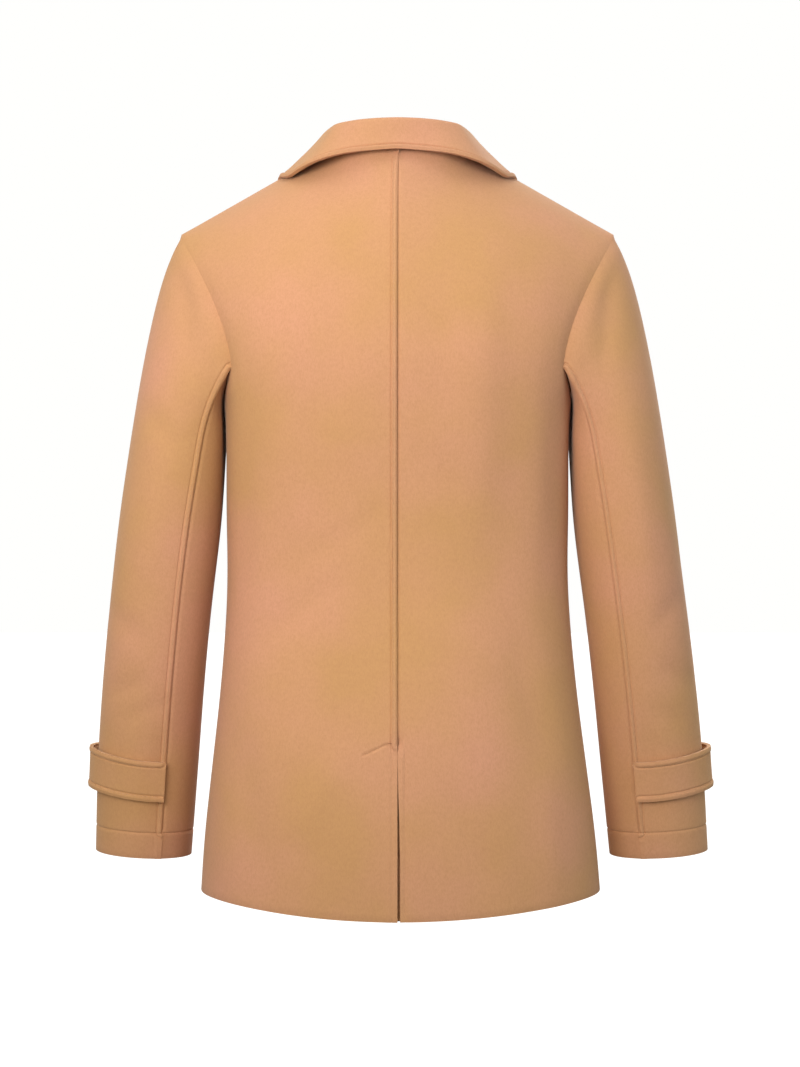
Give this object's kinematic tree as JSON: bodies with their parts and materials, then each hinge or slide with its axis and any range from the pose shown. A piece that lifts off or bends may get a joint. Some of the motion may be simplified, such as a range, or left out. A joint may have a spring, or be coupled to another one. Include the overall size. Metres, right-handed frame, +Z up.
{
  "type": "short wool coat",
  "caption": "Short single-breasted coat in soft camel wool, worn shape and hollow, with a turned-down collar, cuff tabs and a centre-back vent.",
  "frame": {"origin": "between the shoulders, where the wearer carries the coat, 12 mm below the points where the shoulder seams meet the neckline", "axes": "+Z up, +Y out of the front of the coat, +X to the wearer's right"},
  "size_m": [0.6677, 0.2923, 0.8166],
  "materials": {
    "camel_wool": "soft brushed wool with a short nap",
    "brown_horn": "satin horn"
  },
  "bodies": {
    "root": {"back_left": "camel_wool", "back_right": "camel_wool", "front_left": "camel_wool", "front_right": "camel_wool", "lapel_left": "camel_wool", "lapel_right": "camel_wool", "collar": "camel_wool", "top_sleeve_left": "camel_wool", "top_sleeve_right": "camel_wool", "under_sleeve_left": "camel_wool", "under_sleeve_right": "camel_wool", "cuff_tab_left": "camel_wool", "cuff_tab_right": "camel_wool", "front_button_1": "brown_horn", "front_button_2": "brown_horn", "front_button_3": "brown_horn", "tab_button_left": "brown_horn", "tab_button_right": "brown_horn"}
  },
  "joints": []
}
